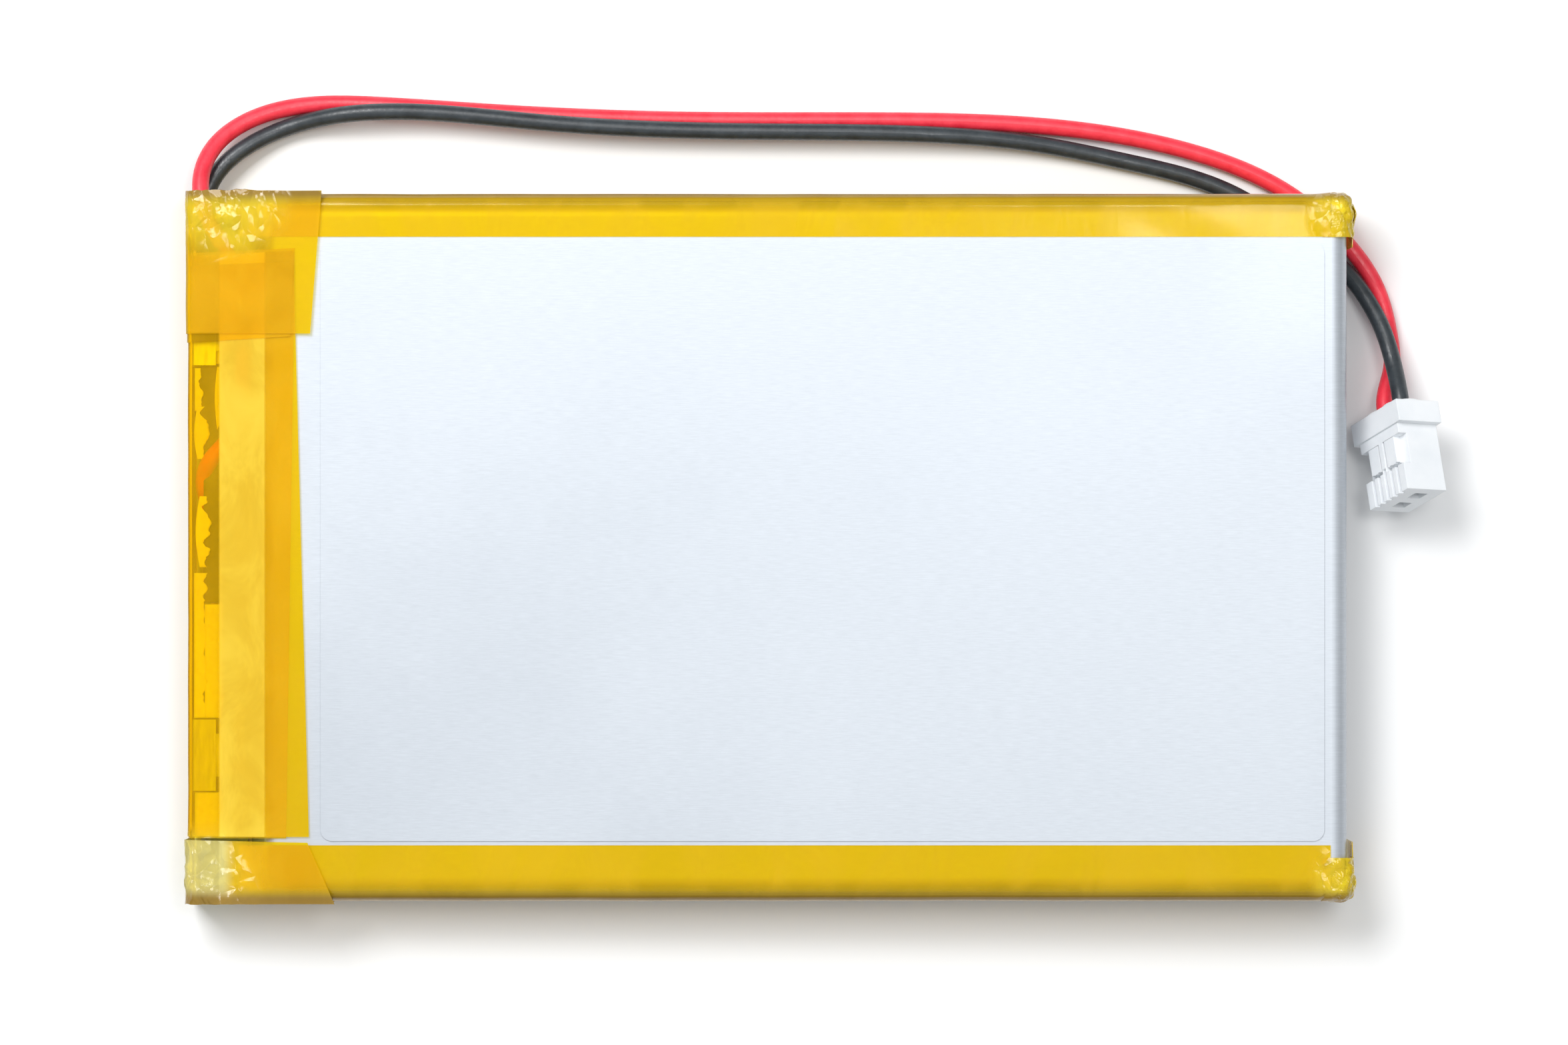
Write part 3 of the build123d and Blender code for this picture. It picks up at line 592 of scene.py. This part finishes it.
def corner_fold(name, side, length, depth, material):
    """The end of a side tape, gathered round the corner of the folded end."""
    edge = FOLD_HIGH.y if side > 0 else FOLD_LOW.y

    def place(u, v):
        x = FOLD_START_X + (length - FOLD_TAPER * v) * u
        y = edge - side * FOLD_INSET + side * depth * v
        x -= FOLD_WANDER * noise.noise(Vector((v * 7, side * 3, 1)))
        point = draped(x, y, FOLD_LOW, FOLD_HIGH, FOLD_TOP, FOLD_RADIUS)
        folds = 0.6 * crease(point, 1.9 * MM) + 0.4 * crease(point, 0.8 * MM)
        near = min(1, u * 2.5)
        return point + outward(point) * folds * near * FOLD_HEIGHT * MM

    mesh = sheet(38, 42, place, FOLD_THICKNESS)
    piece = finish_piece(name, mesh, material, smooth=False)
    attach(piece, PACK)


fold_film = film("fold_film", cover=0.10)
corner_fold("corner_fold_upper", 1, 6.2 * MM, 5.4 * MM, fold_film)
corner_fold("corner_fold_lower", -1, 5.6 * MM, 5.6 * MM, fold_film)


# ------------------------------------------------------------------ seen through the head window
STRIP_THICKNESS = 0.04 * MM
WHOLE = (-40.2, -38.25)         # the whole width of the window
DEEP, SHALLOW = 4.75, 4.95      # heights of the backing and of what lies on it
STRIPS = (
    # name, ends in X, ends in Y, height, tear of the edge, material, taper; in mm
    ("backing_top", (-40.2, -38.6), (17.9, 21.1), DEEP, 0.1, "dark", 0),
    ("tab_cover", WHOLE, (12.9, 17.8), SHALLOW, 0.05, "yellow", 0),
    ("backing_upper", WHOLE, (6.9, 12.7), DEEP, 0.1, "dark", 0),
    ("backing_middle", (-39.6, -38.25), (-3.9, 6.9), DEEP, 0.3, "dark", 0),
    ("flap_upper_left", (-40.2, -39.75), (9.6, 12.6), SHALLOW, 0.35, "yellow", 0),
    ("flap_upper_right", (-38.8, -38.25), (8.3, 12.7), SHALLOW, -0.5, "yellow", 0.6),
    ("flap_left", (-40.25, -39.35), (6.2, 9.9), SHALLOW, 0.45, "yellow", 0.5),
    ("flap_middle", (-40.15, -39.2), (-1.4, 3.6), SHALLOW, 0.5, "yellow", 0.6),
    ("flap_long", (-40.25, -39.45), (-12.0, -1.8), SHALLOW, 0.35, "yellow", 0),
    ("adhesive_lower", (-39.5, -38.25), (-12.0, -4.0), SHALLOW, 0.1, "yellow", 0),
    ("backing_tab", WHOLE, (-17.2, -12.0), DEEP, 0.05, "brown", 0),
    ("teardrop", (-40.0, -38.95), (-17.0, -12.4), SHALLOW, 0.15, "yellow", 0.95),
    ("adhesive_bottom", WHOLE, (-20.3, -17.2), SHALLOW, 0.05, "yellow", 0),
    ("edge_strip", (-40.3, -40.1), (12.9, 20.9), DEEP, 0.1, "tan", 0),
)


def ragged_strip(name, x_range, y_range, height, ragged, material, taper):
    """A thin loose strip with a torn edge, lying under the head tapes."""
    x_low, x_high = (x * MM for x in x_range)
    y_low, y_high = (y * MM for y in y_range)
    seed = len(bpy.data.objects)

    def place(u, v):
        y = y_low + (y_high - y_low) * v
        tear = noise.fractal(Vector((y / MM * 0.9, seed, 0)), 0.7, 2.1, 4) * (ragged * MM)
        narrow = taper * (1 - math.sin(math.pi * v)) * (x_high - x_low)
        x = x_low + narrow / 2 + (x_high - x_low - narrow + tear) * u
        ripple = noise.noise(Vector((x / MM, y / MM, seed)))
        return Vector((x, y, height * MM + 0.05 * MM * ripple))

    rows = max(8, int((y_high - y_low) / (0.12 * MM)))
    mesh = sheet(6, rows, place, STRIP_THICKNESS)
    piece = finish_piece(name, mesh, material)
    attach(piece, PACK)


def head_window():
    """Backing strips, torn adhesive and covered tabs that show through the head tapes."""
    colours = {
        "dark": moulded("dark_backing", (0.02, 0.015, 0.01), (0.10, 0.07, 0.04), 0.35),
        "yellow": moulded("wetted_adhesive", (0.98, 0.84, 0.03), (1.0, 0.96, 0.06), 0.25),
        "tan": moulded("covered_tab", (0.60, 0.40, 0.06), (0.78, 0.54, 0.08), 0.35),
        "brown": moulded("brown_backing", (0.20, 0.17, 0.10), (0.34, 0.29, 0.18), 0.4),
    }
    for name, x_range, y_range, height, ragged, colour, taper in STRIPS:
        ragged_strip(name, x_range, y_range, height, ragged, colours[colour], taper)


TUBE_SIDES = 20


def smooth_path(corners):
    """Points along a smooth curve through the given ones, five to a span."""
    points = []
    for step in range(len(corners) - 1):
        before = corners[max(step - 1, 0)]
        here, there = corners[step], corners[step + 1]
        after = corners[min(step + 2, len(corners) - 1)]
        for part in (0, 0.2, 0.4, 0.6, 0.8):
            t2, t3 = part ** 2, part ** 3
            centre = here * (2 * t3 - 3 * t2 + 1) + there * (3 * t2 - 2 * t3)
            centre += (there - before) / 2 * (t3 - 2 * t2 + part)
            centre += (after - here) / 2 * (t3 - t2)
            points.append(centre)
    points.append(corners[-1])
    return points


def tube(name, corners, radius, material):
    """A closed round tube along a smooth curve."""
    points = smooth_path(corners)
    mesh = bmesh.new()
    rings = []
    for index, centre in enumerate(points):
        along = points[min(index + 1, len(points) - 1)] - points[max(index - 1, 0)]
        side = along.cross(Vector((0, 0, 1))).normalized()
        up = side.cross(along).normalized()
        ring = []
        for corner in range(TUBE_SIDES):
            angle = 2 * math.pi * corner / TUBE_SIDES
            spoke = (side * math.cos(angle) + up * math.sin(angle)) * radius
            ring.append(mesh.verts.new(centre + spoke))
        rings.append(ring)
    for first, second in zip(rings, rings[1:]):
        for corner in range(TUBE_SIDES):
            following = (corner + 1) % TUBE_SIDES
            mesh.faces.new((first[corner], first[following], second[following], second[corner]))
    mesh.faces.new(rings[0])
    mesh.faces.new(rings[-1])
    bmesh.ops.recalc_face_normals(mesh, faces=mesh.faces[:])
    piece = finish_piece(name, mesh, material)
    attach(piece, PACK)


def wire_loop():
    """The red wire's loop that shows in the window, on its way to the board."""
    path = (
        (-37.6, 7.3, 4.2), (-38.6, 6.5, 4.3), (-39.3, 5.8, 4.3),
        (-39.65, 4.9, 4.25), (-39.6, 3.9, 4.0), (-39.5, 2.9, 3.4),
    )
    corners = [Vector(p) * MM for p in path]
    tube("red_wire_loop", corners, 0.52 * MM, materials["red_pvc"])


head_window()
wire_loop()


# ------------------------------------------------------------------ lead
BENDS = (
    # bend, the stretch before it, the stretch after it, the joint it flexes at
    ("exit_bend", "in_head", "near", "lead_exit_bend"),
    ("mid_bend", "near", "far", "lead_mid_bend"),
    ("plug_bend", "far", "at_plug", "plug_bend"),
)
STRANDS = (("red_jacket", "red_pvc"), ("black_jacket", "black_pvc"), ("copper", "copper_strand"))
FLEX_SLICES = 16


def meeting_point(node, neighbour):
    """Centre of the end of a stretch that touches its neighbour."""
    tree = kdtree.KDTree(len(NODES[neighbour].data.vertices))
    for index, vertex in enumerate(NODES[neighbour].data.vertices):
        tree.insert(vertex.co, index)
    tree.balance()
    touching = [v.co for v in NODES[node].data.vertices if tree.find(v.co)[2] < 0.12 * MM]
    return sum(touching, Vector()) / len(touching)


def flex_piece(strand, bend, before, after, record_slot):
    """The flexing stretch of a wire, copied and cut into slices between the two stretches it
    joins.
    """
    node = f"{strand}_{bend}"
    mesh = bmesh.new()
    mesh.from_mesh(NODES[node].data)
    start = meeting_point(node, f"{strand}_{before}")
    end = meeting_point(node, f"{strand}_{after}")
    for index in range(1, FLEX_SLICES):
        bmesh.ops.bisect_plane(
            mesh, geom=mesh.verts[:] + mesh.edges[:] + mesh.faces[:],
            plane_co=start.lerp(end, index / FLEX_SLICES), plane_no=(end - start), dist=1e-8,
        )
    piece = finish_piece(f"{node}_flex", mesh, materials[record_slot])
    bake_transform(piece)
    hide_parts(node)


for bend, before, after, joint_name in BENDS:
    for strand, record_slot in STRANDS:
        flex_piece(strand, bend, before, after, record_slot)


# ------------------------------------------------------------------ stage
def floor_angle():
    """Slope of the surface that the board end and the lead under the far corner rest on."""
    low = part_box("corner_tape_lower")[0]
    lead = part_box("red_jacket_far")[0]
    return math.atan2(low.z - lead.z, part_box("plug_housing")[0].x - low.x), low


FLAT_X = (-44 * MM, 52 * MM)    # the floor is one tilted plane between these
FLAT_Y = (-30 * MM, 33 * MM)
FALL = 30 * MM                  # outside them it falls to its lowest level over this distance
FALL_BY_LEAD = 14 * MM          # and over this one on the side where the lead swings
FLOOR_GAP = 0.09 * MM           # room for the waves of the films
FLOOR_DROP = 0.12 * MM          # from the lowest point of the part to the lowest level


def floor_height(x, y, slope, corner):
    """Tilted under the pack and its lead; it falls away gently where the lead can be swung."""
    tilted = corner.z - FLOOR_GAP - (x - corner.x) * math.tan(slope)
    level = cad_low.z - FLOOR_DROP
    beyond = (
        max(0, y - FLAT_Y[1]) / FALL_BY_LEAD,
        (FLAT_X[0] - x) / FALL,
        (x - FLAT_X[1]) / FALL,
        (FLAT_Y[0] - y) / FALL,
    )
    share = min(1, max(0, *beyond))
    share = share * share * (3 - 2 * share)
    return tilted * (1 - share) + level * share


def stage():
    """The pale surface that the pack lies on."""
    slope, corner = floor_angle()
    near = [i * 4 * MM for i in range(-36, 37)]
    places = [-1.5, -0.5] + near + [0.5, 1.5]
    mesh = bmesh.new()
    grid = []
    for x in places:
        grid.append([mesh.verts.new((x, y, floor_height(x, y, slope, corner))) for y in places])
    for i in range(len(places) - 1):
        for j in range(len(places) - 1):
            mesh.faces.new((grid[i][j], grid[i + 1][j], grid[i + 1][j + 1], grid[i][j + 1]))
    s = Shader("pale_floor")
    tone = s.noise(3, 2, 0.4)
    s.finish(s.principled(
        Base_Color=s.ramp(tone, ((0.3, (0.90, 0.90, 0.90)), (0.7, (0.92, 0.92, 0.92)))),
        Roughness=0.8,
    ))
    data = bpy.data.meshes.new("floor")
    mesh.to_mesh(data)
    mesh.free()
    for face in data.polygons:
        face.use_smooth = True
    data.materials.append(s.material)
    floor = bpy.data.objects.new("floor", data)
    bpy.context.collection.objects.link(floor)


def light(name, place, size, power):
    """A rectangular lamp that faces the pack."""
    data = bpy.data.lights.new(name, "AREA")
    data.shape = "RECTANGLE"
    data.size, data.size_y = size
    data.energy = power
    lamp = bpy.data.objects.new(name, data)
    lamp.location = place
    lamp.rotation_euler = (-Vector(place)).to_track_quat("-Z", "Y").to_euler()
    bpy.context.collection.objects.link(lamp)


def sky():
    """Bright above and darker towards the horizon, so that turned-down edges darken."""
    world = bpy.data.worlds.new("studio")
    world.use_nodes = True
    tree = world.node_tree
    place = tree.nodes.new("ShaderNodeTexCoord")
    split = tree.nodes.new("ShaderNodeSeparateXYZ")
    span = tree.nodes.new("ShaderNodeMapRange")
    span.interpolation_type = "SMOOTHSTEP"
    span.inputs["From Min"].default_value = 0.1
    span.inputs["From Max"].default_value = 0.85
    span.inputs["To Min"].default_value = 0.16
    span.inputs["To Max"].default_value = 0.66
    tree.links.new(place.outputs["Generated"], split.inputs[0])
    tree.links.new(split.outputs[2], span.inputs["Value"])
    tree.links.new(span.outputs["Result"], tree.nodes["Background"].inputs[1])
    tree.nodes["Background"].inputs[0].default_value = (0.96, 0.985, 1.0, 1)
    bpy.context.scene.world = world


FRAME_WIDTH = 109.8 * MM    # of the picture, where the pack is
VIEW_CENTRE = (1.21 * MM, 1.75 * MM)


def lights_and_camera():
    """Soft light from the upper left, and a camera almost straight above the pack."""
    sky()
    light("key", (-0.16, 0.22, 0.42), (0.22, 0.18), 1.75)
    light("overhead", (0.11, 0.08, 0.50), (0.14, 0.12), 0.55)
    data = bpy.data.cameras.new("camera")
    data.lens = 150
    camera = bpy.data.objects.new("camera", data)
    bpy.context.collection.objects.link(camera)
    distance = FRAME_WIDTH * data.lens / data.sensor_width
    camera.location = (*VIEW_CENTRE, distance + cad_high.z)
    camera.rotation_euler = (0, 0, 0)
    data.clip_start, data.clip_end = 0.01, 10
    bpy.context.scene.camera = camera


stage()
lights_and_camera()
